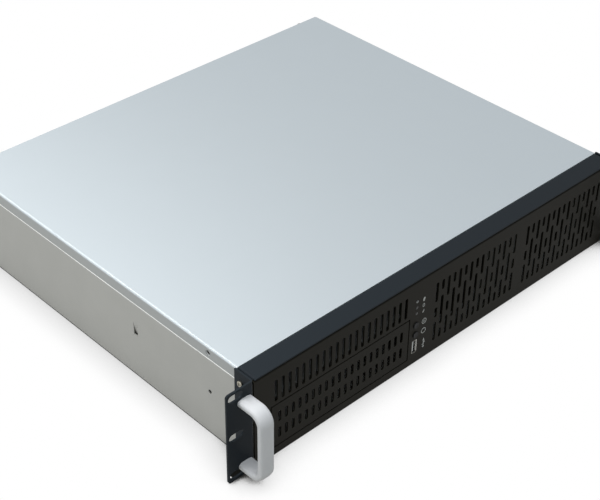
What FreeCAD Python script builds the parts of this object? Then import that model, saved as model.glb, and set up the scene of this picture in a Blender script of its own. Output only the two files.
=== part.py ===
import FreeCAD, Part
import math
import os

# Rackmount server case, two units high, empty. Millimetres.
# X runs along the front, Y towards the back, Z up. Sizes below are measured from the
# face's front surface and from the underside; the last lines put the origin in the
# middle of the underside.

# Case body
case_width = 430.0
case_height = 88.0
case_depth = 381.5
sheet = 1.0                 # galvanised steel of the tray, cover and inner brackets
fold_radius = 1.0           # inside radius of a fold
flange_gap = 0.4            # between the cover's side flange and the tray's wall
cover_gap = 0.3             # between the cover and what it lies over
seam_drop = 11.8            # from the top down to the shelf under the cover's side flange
seam_gap = 1.0              # open line between that shelf and the flange
rim_width = 10.0            # flange along the top of the tray's walls
front_drop = 2.5            # the walls' front ends stay this much below that flange
side_flange = 12.0          # flanges at the front and back ends of the tray's walls
side_flange_low = 9.0
side_flange_drop = 14.0
lip_drop = 2.0              # from the drive bay's plate down to the tray's front lip
lap = 4.0                   # how far a welded flange runs back onto its sheet
relief_reach = (6.0, 1.5)   # notch at the front of the cover's side flange: inwards and down
relief_gap = 0.5
rail_hole_y = 50.0          # small hole for a slide rail
rail_hole_height = 44.0
rail_hole_r = 2.0
lance_y = (138.0, 143.0)    # tongue cut out of the wall, which stops a slide rail
lance_z = (44.5, 56.0)
lance_push = 1.6
lance_slit = 0.8
lance_bend = 4.0
lance_thin = 0.1            # the tongue is pressed this much thinner than the sheet

# Face and top strip
face_sheet = 1.5
face_bottom = 0.8
face_side_gap = 0.2
face_return = 13.0
face_corner = 3.0           # the fold starts this far behind the front at its trimmed ends
strip_sheet = 1.2
strip_depth = 18.7
strip_gap = 0.2             # between the face's top fold and the strip
strip_step = 0.05           # how much lower the lip lies than the cover gap asks for
tongue_depth = 11.0         # lip of the strip that the cover's front edge lies over
tongue_inset = 14.0
tab_height = 16.0
tab_bridge = 6.0            # how far an end tab runs in under the strip before the weld
cover_front_gap = 0.15      # between the strip's back and the cover's front edge

# Rack ears
ear_reach = 26.3            # from the case's side to the tip of the 19-inch panel
rack_hole_inset = 8.75      # from the tip to the middle of the rack's slots
rack_hole_low = 6.4         # lowest slot, from the underside
rack_hole_drop = 5.4        # highest slot, from the top
rack_slot_length = 14.0
rack_slot_width = 6.8
ear_sheet = 1.6
ear_leg_depth = 19.5
ear_zone_gap = 0.1          # between an ear's leg and the wall's step behind it
ear_bottom = 0.4
ear_corner = 2.5
ear_screw_y = 12.5
ear_screw_end = 10.5        # outer screws, from the underside and from the top
ear_screw_short = 0.4       # the tip ends this much inside the tray

# Handles
handle_width = 13.5
handle_thick = 6.5
handle_edge = 2.9           # rounding of the bar's long edges
handle_reach = 25.8
handle_low = 7.7
handle_drop = 10.6
handle_bend = 9.75          # radius of the bar's middle line
handle_bend_steps = 5       # flats along each bend
handle_offset = 9.0         # from the case's side to the bar's middle
handle_screw_r = 2.0
handle_screw_gap = (0.3, 0.05)      # round the shank in the ear and in the bar
handle_tap_depth = 11.0
handle_screw_short = 2.5
handle_screw_head = (3.8, 2.4)      # radius and height

# Vent slots of the face
slot_width = 3.0
slot_pitch = 7.03
slot_end = 1.1              # how far a slot's slanted ends reach
upper_slot_low = 54.0
upper_slot_drop = 13.0
upper_slot_room = 2.0       # plain width left beside the slots, over the drive bay
fan_field_gap = 8.0         # plain width left between the slots of two fans
# slots of a column in front of a fan, measured from the fan's middle
long_columns = ((8.0, 28.0), (-8.0, 2.0), (-32.5, -13.0))
short_columns = ((18.0, 28.0), (-18.0, 12.0), (-32.5, -23.0))

# Drive bay: cover plate in the face and the cage behind it
drive_width = 146.8         # room between the cage's walls
bay_side = 17.5             # from the case's side to the cover plate
bay_lap = 1.6               # the plate is this much wider than the drive, on each side
bay_low = 8.5
bay_high = 50.0
bay_gap = 0.7
bay_sheet = 1.2
bay_slot_room = 9.0         # plain width left beside the plate's slots
bay_slot_length = 10.5
bay_row_low = 15.5
bay_row_high = 32.0
bay_tab_depth = 20.0
bay_tab_inset = 3.0
bay_screw_y = 14.0
bay_screw_inset = 8.0
drive_tab_gap = 0.5
cage_front = 6.0
cage_length = 170.0
cage_roof = 53.0
cage_foot = 10.0
drive_slot_heights = (18.5, 30.3)
drive_slot_places = (47.4, 126.6)
drive_slot_length = 9.0
cage_vent_count = 6
cage_vent_pitch = 21.0
cage_vent_width = 9.0
cage_vent_end = 25.0
cage_screw_inset = 20.0

# Front controls
control_gap = 8.5           # from the drive bay's plate to the column of controls
led_height = 65.0
led_pitch = 6.0
led_count = 3
led_r = 1.45
led_proud = 0.3
led_gap = 0.15
led_foot = (0.9, 6.0)       # how much wider the pipe's foot is, and its length
power_height = 41.0
reset_height = 31.0
button_r = 2.9
button_gap = 0.25
button_proud = 0.9
button_travel = 1.0
button_rest = 0.2           # between the stem's end at full travel and the switch
button_sides = 16
button_collar = (1.3, 1.2)  # how much wider the stop collar is, and its thickness
button_stem_r = 1.5
usb_height = 18.2
usb_width = 5.7
usb_length = 13.1
usb_wall = 0.4
usb_gap = 0.3
usb_corner = 0.7
usb_setback = 0.2           # behind the face's front surface
usb_base = 3.0              # plastic at the back of the shell
usb_tongue = (0.5, 1.8, 0.9, 1.2)   # off the side, thickness, off the ends, behind the face
board_y = 14.4
board_thick = 1.6
board_left = 6.5            # from the column of controls to the board's edges
board_right = 14.5
board_low = 8.0
board_above = 5.0           # over the highest light
board_screw_side = 9.5      # from the column of controls
board_screw_heights = (20.0, 62.0)
board_screw_grip = 3.0
switch_size = 6.0
switch_depth = 3.0
bracket_side = 2.0          # from the column of controls to the bracket's edge
bracket_width = 12.0
bracket_foot = 13.0
bracket_screw_back = 5.0
boss_r = 2.6

# Fans, and the sheet that carries them
fan_room = 4.0              # over and under a fan
fan_gap = 2.0               # least room between two fans
fan_depth = 25.0
fan_hole_inset = 4.25
fan_rim_wall = 1.8          # least wall round the bore
blade_count = 7
blade_tip_gap = 1.0
blade_setback = 1.0         # the blades are this much shorter than the hub
blade_pitch = (52.0, 66.0)  # angle from the shaft, at the hub and at the tip
blade_chord = (15.0, 21.0)
blade_camber = 1.4
blade_thick = 1.2
hub_r = 16.0
hub_wall = 1.5
hub_front = 2.0
hub_setback = 1.0           # behind the frame's front
hub_length = 19.0
hub_plate = 1.0             # the plate behind the hub is this much larger
shaft_r = 1.5
shaft_gap = 0.3             # between the shaft and its bearing
bearing_r = 4.0
bearing_length = 17.0
bearing_sides = 8
bearing_end = 1.0           # closed end of the bearing
fan_rim = 4.0               # thickness of the two square flanges
fan_corner = 4.0
fan_barrel = 1.5            # wall of the round barrel
fan_spider = 3.0            # arms that hold the bearing
fan_arm = 3.0
fan_sides = 20              # flat sides of the barrel and the hub
fan_hole_r = 2.15
fan_screw = (2.1, 3.6, 1.8, 4.0)    # shank radius, head radius, head height, reach
fan_screw_gap = 0.3         # round the shank in the sheet
fan_wall_gap = 0.3          # the sheet's hole is this much larger than the bore
wall_y = 19.0               # front face of the sheet that carries the fans
wall_foot = 12.0            # foot of that sheet, towards the face
wall_left = 15.25           # from the column of controls to the sheet's end
wall_right = 7.75           # from its other end to the case's side
wall_drop = 3.8
wall_screw_inset = (10.0, 6.5)

# Rear panel
rear_gap = 0.3              # between the cover's rear flange and the rear panel
rear_inset = 1.6            # the panel's ends, inside the case's width
rear_flange = 11.0
rear_foot = 6.5
rear_corner_gap = 3.5       # round the tray's rims and folds at the panel's corners
io_side = 12.25             # window of the board's connectors, from the case's side
io_width = 158.75
io_low = 6.0
io_height = 44.45
card_gap = 14.4             # from that window to the first card
card_pitch = 20.32
card_window_width = 14.5
card_window_low = 8.0
card_window_drop = 17.0
card_cover_width = 18.2
card_cover_low = 4.0
card_cover_drop = 8.6
card_cover_sheet = 0.9
card_screw_drop = 12.0
card_screw_reach = 4.5
psu_side = 63.0             # middle of the power supply's window, from the case's side
psu_width = 90.0
psu_low = 8.0
psu_drop = 18.0
psu_screw_offset = 49.0
psu_screw_low = 14.0
psu_screw_drop = 24.0
vent_count = 17
vent_pitch = 9.0
vent_width = 4.0
vent_gap = 4.55             # over the window of the board's connectors
vent_drop = 17.0
rivet_side = 7.0
rivet_low = 20.0
rivet_drop = 24.0
rivet_r = 1.6
rivet_gap = 0.02
rivet_head = (3.2, 1.0)     # radius and height

# Cover
cover_rear_drop = 8.5
cover_rear_inset = 2.0
thumb_side = 19.0
thumb_drop = 9.0
thumb_tab_width = 18.0
thumb_tab_drop = 16.0
thumb_shaft_r = 1.75
thumb_hole_gap = (0.05, 0.3)        # round the shaft in the cover and in the rear panel
thumb_head_r = 4.75
thumb_head_length = 6.0
thumb_reach = 9.0
thumb_sides = 16
thumb_slot = (1.2, 1.4)     # width and depth
dimple_y = 51.0
dimple_drop = 6.0
dimple_r = 2.7

# Motherboard standoffs, from the board's right and rear edges
standoff_height = 6.5
standoff_flats = 5.0
standoff_bore = 5.0
board_side_gap = 10.4       # from the case's side to the board's edge
board_rear_gap = 0.4
hole_from_side = 6.35
hole_column_1 = 157.48
hole_column_2 = 45.72
hole_from_rear = 10.16
hole_row_1 = 154.94
hole_row_2 = 72.39

# Small hardware
m3_r = 1.45
tapped_r = 1.5
clear_r = 1.8
pan_r = 2.8
pan_height = 1.8
screw_tip = 0.1             # a screw ends this much inside what it holds

over = 1.0                  # how far a cutter runs past what it cuts
tiny = 1e-6

# Places that follow from the sizes above
half_width = case_width / 2
cover_under = case_height - sheet
seam_height = case_height - seam_drop
rim_height = cover_under - cover_gap - sheet / 2
panel_back = case_depth - sheet - rear_gap
panel_front = panel_back - sheet
face_back = face_sheet
ear_screw_heights = (ear_screw_end, case_height / 2, case_height - ear_screw_end)
rack_hole_heights = (rack_hole_low, (rack_hole_low + case_height - rack_hole_drop) / 2,
                     case_height - rack_hole_drop)
rack_hole_x = half_width + ear_reach - rack_hole_inset
handle_x = half_width + handle_offset
handle_leg_heights = (handle_low + handle_thick / 2, case_height - handle_drop - handle_thick / 2)
bay_width = drive_width + 2 * bay_lap
bay_centre = bay_side - half_width + bay_width / 2
bay_screw_heights = (bay_low + bay_screw_inset, bay_high - bay_screw_inset)
control_x = bay_centre + bay_width / 2 + control_gap
led_heights = [led_height - i * led_pitch for i in range(led_count)]
board_x = (control_x - board_left, control_x + board_right)
board_z = (board_low, led_height + board_above)
bracket_x = (control_x + bracket_side, control_x + bracket_side + bracket_width)
fan_size = case_height - 2 * fan_room
fan_height = case_height / 2
fan_bore_r = fan_size / 2 - fan_rim_wall
fan_front = wall_y + sheet
wall_x = (control_x + wall_left, half_width - wall_right)
fan_count = int((wall_x[1] - wall_x[0]) / (fan_size + fan_gap))
fan_pitch = (wall_x[1] - wall_x[0]) / fan_count
fan_centres = [wall_x[0] + (i + 0.5) * fan_pitch for i in range(fan_count)]
io_x = (half_width - io_side - io_width, half_width - io_side)
io_z = (io_low, io_low + io_height)
psu_centre = psu_side - half_width
card_first_x = io_x[0] - card_gap
card_room = card_first_x - (psu_centre + psu_width / 2)
card_count = int(card_room / card_pitch + 0.5)
card_screw_height = case_height - card_screw_drop
thumb_x = half_width - thumb_side
thumb_height = case_height - thumb_drop
rivet_places = [(side * (half_width - rivet_side), z) for side in (-1, 1)
                for z in (rivet_low, case_height - rivet_drop)]
board_edge_x = half_width - board_side_gap
standoff_columns = (hole_from_side, hole_from_side + hole_column_1,
                    hole_from_side + hole_column_1 + hole_column_2)
standoff_rows = (hole_from_rear, hole_from_rear + hole_row_1,
                 hole_from_rear + hole_row_1 + hole_row_2)


# Points, lines and simple solids

def vec(x, y, z):
    return FreeCAD.Vector(x, y, z)


X, Y, Z = vec(1, 0, 0), vec(0, 1, 0), vec(0, 0, 1)


def block(x, y, z):
    """Box between the low and high values of each axis."""
    return Part.makeBox(x[1] - x[0], y[1] - y[0], z[1] - z[0], vec(x[0], y[0], z[0]))


def rod(radius, start, end):
    """Round bar from one point to another."""
    return Part.makeCylinder(radius, (end - start).Length, start, end - start)


def line(a, b):
    return Part.makeLine(a, b)


def arc(a, middle, b):
    return Part.Arc(a, middle, b).toShape()


def obround(centre, along, across, length, width, run):
    """Round-ended slot cutter, from its centre, its long and its short direction."""
    r = width / 2
    a = centre - along * (length / 2 - r)
    b = centre + along * (length / 2 - r)
    edges = [line(a - across * r, b - across * r),
             arc(b - across * r, b + along * r, b + across * r),
             line(b + across * r, a + across * r),
             arc(a + across * r, a - along * r, a - across * r)]
    return Part.Face(Part.Wire(edges)).extrude(run)


def long_slot(centre, along, across, half_length, width, run):
    """Vent slot cutter. There are over a hundred, so each round end has two flat sides."""
    a, b, c = width / 2, half_length, slot_end
    corners = [(a, c - b), (a, b - c), (0, b), (-a, b - c), (-a, c - b), (0, -b)]
    points = [centre + across * u + along * v for u, v in corners]
    return Part.Face(Part.makePolygon(points + points[:1])).extrude(run)


def in_xz(y):
    return lambda u, v: vec(u, y, v)


def in_xy(z):
    return lambda u, v: vec(u, v, z)


def in_yz(x):
    return lambda u, v: vec(x, u, v)


def skin(points, radii, shift, place):
    """One skin of a bent sheet: its middle line moved sideways, with arcs at the folds."""
    path = [FreeCAD.Vector(u, v, 0) for u, v in points]
    ways = [(b - a).normalize() for a, b in zip(path, path[1:])]
    lefts = [FreeCAD.Vector(-w.y, w.x, 0) for w in ways]
    here = path[0] + lefts[0] * shift
    ends = [here]
    edges = []
    for i in range(1, len(path) - 1):
        before, after = ways[i - 1], ways[i]
        side = 1 if before.cross(after).z > 0 else -1
        cut = radii[i - 1] * math.tan(before.getAngle(after) / 2)
        start = path[i] - before * cut
        stop = path[i] + after * cut
        centre = start + lefts[i - 1] * (side * radii[i - 1])
        scale = (radii[i - 1] - side * shift) / radii[i - 1]
        crown = centre + (path[i] - centre).normalize() * radii[i - 1]
        a, m, b = [centre + (q - centre) * scale for q in (start, crown, stop)]
        if (a - here).Length > tiny:
            edges.append(line(place(here.x, here.y), place(a.x, a.y)))
        edges.append(arc(place(a.x, a.y), place(m.x, m.y), place(b.x, b.y)))
        here = b
    last = path[-1] + lefts[-1] * shift
    edges.append(line(place(here.x, here.y), place(last.x, last.y)))
    ends.append(last)
    return edges, [place(p.x, p.y) for p in ends]


def bent_sheet(points, thick, run, place, radii=None):
    """Sheet folded along its middle line, and run out straight."""
    radii = radii or [fold_radius + thick / 2] * (len(points) - 2)
    left, left_ends = skin(points, radii, thick / 2, place)
    right, right_ends = skin(points, radii, -thick / 2, place)
    caps = [line(left_ends[0], right_ends[0]), line(left_ends[1], right_ends[1])]
    wire = Part.Wire(Part.__sortEdges__(left + right + caps))
    return Part.Face(wire).extrude(run)


def flat_rod(radius, start, end, sides=6):
    """Bar or hole cutter with flat sides, whose corners lie on the given radius.

    Small screws and their holes are many, so all of them have six sides, turned alike.
    """
    turns = [2 * math.pi * i / sides for i in range(sides)]
    corners = [vec(radius * math.cos(t), radius * math.sin(t), 0) for t in turns]
    bar = Part.Face(Part.makePolygon(corners + corners[:1])).extrude(Z * (end - start).Length)
    bar.Placement = FreeCAD.Placement(start, FreeCAD.Rotation(Z, end - start))
    return bar


def punch(radius, x, z, y, thick=sheet, sides=6):
    """Cutter for a hole along Y, through a sheet whose front is at y."""
    return flat_rod(radius, vec(x, y - over, z), vec(x, y + thick + over, z), sides)


def side_hole(radius, x, y, z):
    """Cutter for a hole along X, from inside the tray at x out past the case's side."""
    return flat_rod(radius, vec(x, y, z), vec(half_width + ear_sheet + over, y, z))


def floor_hole(radius, x, y):
    """Cutter for a hole down through the floor and a foot that lies on it."""
    return flat_rod(radius, vec(x, y, -over), vec(x, y, 2 * sheet + over))


def pan_screw(seat, out, reach, radius=m3_r, head_r=pan_r, head=pan_height):
    """Screw with its head's underside at seat, pointing its head outwards."""
    shank = flat_rod(radius, seat - out * reach, seat + out * (head / 2))
    return flat_rod(head_r, seat, seat + out * head).fuse(shank)


def mirrored(shape):
    """The same piece for the other side of the case."""
    return shape.mirror(vec(0, 0, 0), vec(1, 0, 0))


def both_sides(shape):
    return [shape, mirrored(shape)]


# Galvanised tray: floor, side walls, and flanges at the front, back and top

def base_tray():
    wall = half_width - sheet / 2
    neck = wall - sheet - flange_gap
    shelf = seam_height - sheet / 2
    rim = rim_height
    flange_y = face_back + sheet / 2
    fold = fold_radius + sheet / 2
    joggle = (sheet + flange_gap) / 2
    rear_y = panel_front - sheet / 2
    zone_end = ear_leg_depth + ear_zone_gap
    front_top = rim - front_drop

    half = [(neck - rim_width, rim), (neck, rim), (neck, shelf), (wall, shelf),
            (wall, sheet / 2)]
    section = [(-u, v) for u, v in half] + list(reversed(half))
    radii = [fold, joggle, joggle, fold, fold, joggle, joggle, fold]
    long_part = bent_sheet(section, sheet, Y * (rear_y - fold - zone_end), in_xz(zone_end), radii)

    trough = [(-wall, front_top), (-wall, sheet / 2), (wall, sheet / 2), (wall, front_top)]
    front_y = flange_y + fold
    front_part = bent_sheet(trough, sheet, Y * (zone_end - front_y), in_xz(front_y))

    low, high = side_flange_low, case_height - side_flange_drop
    front_side = [(-wall, front_y + lap), (-wall, flange_y), (-wall + side_flange, flange_y)]
    rear_side = [(-wall, rear_y - fold - lap), (-wall, rear_y), (-wall + side_flange, rear_y)]
    pieces = [front_part]
    pieces += both_sides(bent_sheet(front_side, sheet, Z * (front_top - sheet - low), in_xy(low)))
    pieces += both_sides(bent_sheet(rear_side, sheet, Z * (high - low), in_xy(low)))

    lip_x = half_width - side_flange - 2 * fold
    lip = [(front_y + lap, sheet / 2), (flange_y, sheet / 2), (flange_y, bay_low - lip_drop)]
    pieces.append(bent_sheet(lip, sheet, X * (2 * lip_x), in_yz(-lip_x)))
    pieces.append(block((-lip_x, lip_x), (rear_y - fold - lap, panel_back), (0, sheet)))
    tray = long_part.multiFuse(pieces)

    inwards, down = relief_reach
    outside = half_width + over
    relief = block((half_width - inwards, outside), (strip_depth - relief_gap, zone_end + relief_gap),
                   (shelf - down, case_height))
    cutters = both_sides(relief)
    inside = half_width - 3 * sheet - flange_gap
    side_holes = [(tapped_r, ear_screw_y, height) for height in ear_screw_heights]
    side_holes.append((tapped_r, dimple_y, case_height - dimple_drop))
    side_holes.append((rail_hole_r, rail_hole_y, rail_hole_height))
    for radius, y, z in side_holes:
        cutters += both_sides(side_hole(radius, inside, y, z))
    cutters += both_sides(block((inside, outside), lance_y, lance_z))
    for x, y in floor_screw_places():
        cutters.append(floor_hole(tapped_r, x, y))
    tray = tray.cut(cutters)
    return tray.multiFuse(both_sides(lanced_tab())).removeSplitter()


def lanced_tab():
    """Tongue cut out of the wall on three sides and pushed inwards at its lower end."""
    wall = half_width - sheet / 2
    low = lance_z[0] + lance_slit
    points = [(wall, lance_z[1] + sheet / 2), (wall, lance_z[1] - 2 * sheet),
              (wall - lance_push, low)]
    side = lance_slit / 2
    width = lance_y[1] - lance_y[0] - 2 * side
    return bent_sheet(points, sheet - lance_thin, Y * width, in_xz(lance_y[0] + side), [lance_bend])


# Face: slotted black sheet with its top edge folded back

def face_cutters():
    cutters = []
    high = case_height - upper_slot_drop
    for x in slot_places(bay_centre, bay_width - upper_slot_room):
        cutters.append(upright_slot(x, upper_slot_low, high, face_sheet))
    for centre in fan_centres:
        for i, x in enumerate(slot_places(centre, fan_pitch - fan_field_gap)):
            for low, high in (short_columns if i % 2 else long_columns):
                cutters.append(upright_slot(x, fan_height + low, fan_height + high, face_sheet))
    return cutters


def slot_places(centre, width):
    """Middles of as many slots as fit in the width."""
    count = int(width / slot_pitch)
    return [centre + (i - (count - 1) / 2) * slot_pitch for i in range(count)]


def upright_slot(x, low, high, thick):
    """Vent slot through a sheet at the front of the case, from its low to its high end."""
    middle = vec(x, -over, (low + high) / 2)
    return long_slot(middle, Z, X, (high - low) / 2, slot_width, Y * (thick + 2 * over))


def front_panel():
    middle = face_sheet / 2
    top = case_height - strip_sheet - strip_gap - middle
    half = half_width - face_side_gap
    points = [(middle, face_bottom), (middle, top), (face_return, top)]
    panel = bent_sheet(points, face_sheet, X * (2 * half), in_yz(-half))
    trims = both_sides(block((half_width - tongue_inset - over, half_width),
                             (face_corner, face_return + over),
                             (top - face_sheet, case_height)))
    bay_half = bay_width / 2 + bay_gap
    opening = block((bay_centre - bay_half, bay_centre + bay_half), (-over, face_sheet + over),
                    (bay_low - bay_gap, bay_high + bay_gap))
    cutters = trims + [opening] + face_cutters()
    for z in led_heights:
        cutters.append(punch(led_r + led_gap, control_x, z, 0, face_sheet))
    for z in (power_height, reset_height):
        cutters.append(punch(button_r + button_gap, control_x, z, 0, face_sheet, button_sides))
    across, along = usb_width / 2 + usb_gap, usb_length / 2 + usb_gap
    cutters.append(block((control_x - across, control_x + across), (-over, face_sheet + over),
                         (usb_height - along, usb_height + along)))
    return panel.cut(cutters)


# Black strip along the top of the face, with end tabs and a lip under the cover

def front_top_strip():
    middle = case_height - strip_sheet / 2
    lip = cover_under - cover_gap - strip_step - strip_sheet / 2
    back = strip_depth - strip_sheet / 2
    end = half_width - sheet - strip_sheet / 2
    tight = (middle - lip) / 2
    profile = [(0, middle), (back, middle), (back, lip), (strip_depth + tongue_depth, lip)]
    keep = end - fold_radius - strip_sheet / 2
    strip = bent_sheet(profile, strip_sheet, X * (2 * keep), in_yz(-keep), [tight, tight])
    corner = block((half_width - tongue_inset, half_width),
                   (strip_depth, strip_depth + tongue_depth + over),
                   (lip - strip_sheet, case_height))
    strip = strip.cut(both_sides(corner))
    tab_bottom = case_height - tab_height
    tab_y = face_back + sheet + fold_radius + relief_gap
    inner = keep - tab_bridge
    ends = [(end, tab_bottom), (end, middle), (inner, middle)]
    bend = bent_sheet(ends, strip_sheet, Y * strip_depth, in_xz(0))
    shorten = block((inner - over, half_width), (-over, tab_y),
                    (tab_bottom - over, case_height - strip_sheet))
    holes = [side_hole(clear_r, inner - over, ear_screw_y, z) for z in ear_screw_heights]
    bend = bend.cut([shorten] + holes)
    return strip.multiFuse(both_sides(bend)).removeSplitter()


# Rack ears: bent brackets screwed to the sides, slotted for the rack's screws

def ear_bracket():
    middle = ear_sheet / 2
    leg_x = half_width + middle
    tip = half_width + ear_reach
    points = [(leg_x, ear_leg_depth), (leg_x, middle), (tip, middle)]
    low, high = ear_bottom, case_height
    ear = bent_sheet(points, ear_sheet, Z * (high - low), in_xy(low))
    inner = tip - ear_corner
    through = (-over, ear_sheet + over)
    corners = block((inner, tip + over), through, (low - over, high + over))
    for z in (low + ear_corner, high - ear_corner):
        corners = corners.cut(rod(ear_corner, vec(inner, -2 * over, z),
                                  vec(inner, ear_sheet + 2 * over, z)))
    corners = corners.cut(block((inner - over, tip + 2 * over), (-2 * over, ear_sheet + 2 * over),
                                (low + ear_corner, high - ear_corner)))
    cutters = [corners]
    for z in rack_hole_heights:
        cutters.append(obround(vec(rack_hole_x, -over, z), X, Z, rack_slot_length, rack_slot_width,
                               Y * (ear_sheet + 2 * over)))
    for z in handle_leg_heights:
        cutters.append(punch(handle_screw_r + handle_screw_gap[0], handle_x, z, 0, ear_sheet))
    for z in ear_screw_heights:
        cutters.append(side_hole(clear_r, half_width - over, ear_screw_y, z))
    return ear.cut(cutters)


def ear_screws():
    seat = half_width + ear_sheet
    reach = ear_sheet + sheet + strip_sheet - ear_screw_short
    screws = []
    for z in ear_screw_heights:
        screws += both_sides(pan_screw(vec(seat, ear_screw_y, z), X, reach))
    return screws


# Handles: rounded aluminium bar bent into a D, screwed on from behind the ear

def handle():
    low, high = handle_leg_heights
    front = -(handle_reach - handle_thick / 2)
    r = handle_bend
    turns = [math.pi / 2 * i / handle_bend_steps for i in range(handle_bend_steps + 1)]
    lower = [(front + r - r * math.sin(t), low + r - r * math.cos(t)) for t in turns]
    upper = [(y, high + low - z) for y, z in reversed(lower)]
    path = [vec(handle_x, y, z) for y, z in [(0, low)] + lower + upper + [(0, high)]]
    bar = Part.makePolygon(path).makePipeShell([handle_section(low)], True, False, 1)
    for z in (low, high):
        bar = bar.cut(flat_rod(handle_screw_r, vec(handle_x, -handle_tap_depth, z),
                               vec(handle_x, over, z)))
    return bar


def handle_section(z):
    """Outline of the bar where it meets the ear, each rounded edge in two flats."""
    a, b, r = handle_width / 2 - handle_edge, handle_thick / 2 - handle_edge, handle_edge
    points = []
    for corner, (sx, sz) in enumerate(((1, 1), (-1, 1), (-1, -1), (1, -1))):
        for step in (0, 1, 2):
            turn = math.radians(90 * corner + 45 * step)
            points.append(vec(handle_x + sx * a + r * math.cos(turn), 0,
                              z + sz * b + r * math.sin(turn)))
    return Part.makePolygon(points + points[:1])


def handle_screws():
    reach = ear_sheet + handle_tap_depth - handle_screw_short
    screws = []
    for z in handle_leg_heights:
        screw = pan_screw(vec(handle_x, ear_sheet, z), Y, reach,
                          handle_screw_r - handle_screw_gap[1], *handle_screw_head)
        screws += both_sides(screw)
    return screws


# Drive bay: vented cover plate with welded tabs, and the folded cage behind the face

def bay_cover():
    half = bay_width / 2
    plate = block((bay_centre - half, bay_centre + half), (0, bay_sheet), (bay_low, bay_high))
    cutters = []
    for x in slot_places(bay_centre, bay_width - bay_slot_room):
        for low in (bay_row_low, bay_row_high):
            cutters.append(upright_slot(x, low, low + bay_slot_length, bay_sheet))
    plate = plate.cut(cutters)
    outer = drive_width / 2 - drive_tab_gap
    pieces = []
    for side in (-1, 1):
        edge = sorted((bay_centre + side * outer, bay_centre + side * (outer - sheet)))
        tab = block(edge, (bay_sheet / 2, bay_tab_depth),
                    (bay_low + bay_tab_inset, bay_high - bay_tab_inset))
        for z in bay_screw_heights:
            tab = tab.cut(flat_rod(tapped_r, vec(edge[0] - over, bay_screw_y, z),
                                   vec(edge[1] + over, bay_screw_y, z)))
        pieces.append(tab)
    return plate.multiFuse(pieces).removeSplitter()


def bay_cover_screws():
    screws = []
    for side in (-1, 1):
        seat = bay_centre + side * (drive_width / 2 + sheet)
        for z in bay_screw_heights:
            screws.append(pan_screw(vec(seat, bay_screw_y, z), X * side, 3 * sheet + drive_tab_gap))
    return screws


def drive_cage():
    wall = drive_width / 2 + sheet / 2
    foot = wall + cage_foot
    roof = cage_roof - sheet / 2
    floor = sheet * 1.5
    half = [(foot, floor), (wall, floor), (wall, roof)]
    section = [(bay_centre - u, v) for u, v in half]
    section += [(bay_centre + u, v) for u, v in reversed(half)]
    cage = bent_sheet(section, sheet, Y * cage_length, in_xz(cage_front))
    cutters = []
    middle = cage_front + cage_length / 2
    half_vent = cage_length / 2 - cage_vent_end
    for i in range(cage_vent_count):
        x = bay_centre + (i - (cage_vent_count - 1) / 2) * cage_vent_pitch
        cutters.append(block((x - cage_vent_width / 2, x + cage_vent_width / 2),
                             (middle - half_vent, middle + half_vent),
                             (roof - sheet, roof + sheet)))
    span = drive_width + 4 * sheet
    left = bay_centre - span / 2
    for z in drive_slot_heights:
        for y in drive_slot_places:
            cutters.append(long_slot(vec(left, y, z), Y, Z, drive_slot_length / 2, 2 * clear_r,
                                     X * span))
    for z in bay_screw_heights:
        cutters.append(flat_rod(clear_r, vec(left, bay_screw_y, z), vec(left + span, bay_screw_y, z)))
    for x, y in cage_screw_places():
        cutters.append(floor_hole(clear_r, x, y))
    return cage.cut(cutters)


def cage_screw_places():
    offset = drive_width / 2 + sheet + cage_foot / 2
    return [(bay_centre + side * offset, cage_front + y)
            for side in (-1, 1) for y in (cage_screw_inset, cage_length - cage_screw_inset)]


# Screws down into the floor, for the cage, the fan wall and the control bracket

def wall_screw_places():
    middle = (wall_x[0] + wall_x[1]) / 2
    along, back = wall_screw_inset
    return [(x, wall_y - back) for x in (wall_x[0] + along, middle, wall_x[1] - along)]


def bracket_screw_places():
    return [((bracket_x[0] + bracket_x[1]) / 2, wall_y + bracket_foot - bracket_screw_back)]


def floor_screw_places():
    return cage_screw_places() + wall_screw_places() + bracket_screw_places()


def floor_screws():
    reach = 2 * sheet - screw_tip
    return [pan_screw(vec(x, y, 2 * sheet), Z, reach) for x, y in floor_screw_places()]


# Fans: axial fans, 80 mm square, screwed to one folded wall

def fan_wall():
    middle = wall_y + sheet / 2
    foot = sheet * 1.5
    points = [(middle - wall_foot, foot), (middle, foot), (middle, case_height - wall_drop)]
    plate = bent_sheet(points, sheet, X * (wall_x[1] - wall_x[0]), in_yz(wall_x[0]))
    cutters = []
    for x in fan_centres:
        cutters.append(punch(fan_bore_r + fan_wall_gap, x, fan_height, wall_y, sheet, fan_sides))
        for hx, hz in fan_holes(x):
            cutters.append(punch(fan_screw[0] + fan_screw_gap, hx, hz, wall_y))
    for x, y in wall_screw_places():
        cutters.append(floor_hole(clear_r, x, y))
    return plate.cut(cutters)


def fan_holes(x):
    offset = fan_size / 2 - fan_hole_inset
    return [(x + sx * offset, fan_height + sz * offset) for sx in (-1, 1) for sz in (-1, 1)]


def along_shaft(radius, x, front, back, sides=fan_sides):
    """Bar or cutter on the axis of the fan at x."""
    return flat_rod(radius, vec(x, front, fan_height), vec(x, back, fan_height), sides)


def fan_flange(x, front):
    """Square flange with cut corners."""
    half, c = fan_size / 2, fan_corner
    corners = [(half, half - c), (half - c, half), (c - half, half), (-half, half - c),
               (-half, c - half), (c - half, -half), (half - c, -half), (half, c - half)]
    points = [vec(x + u, front, fan_height + v) for u, v in corners]
    return Part.Face(Part.makePolygon(points + points[:1])).extrude(Y * fan_rim)


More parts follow.
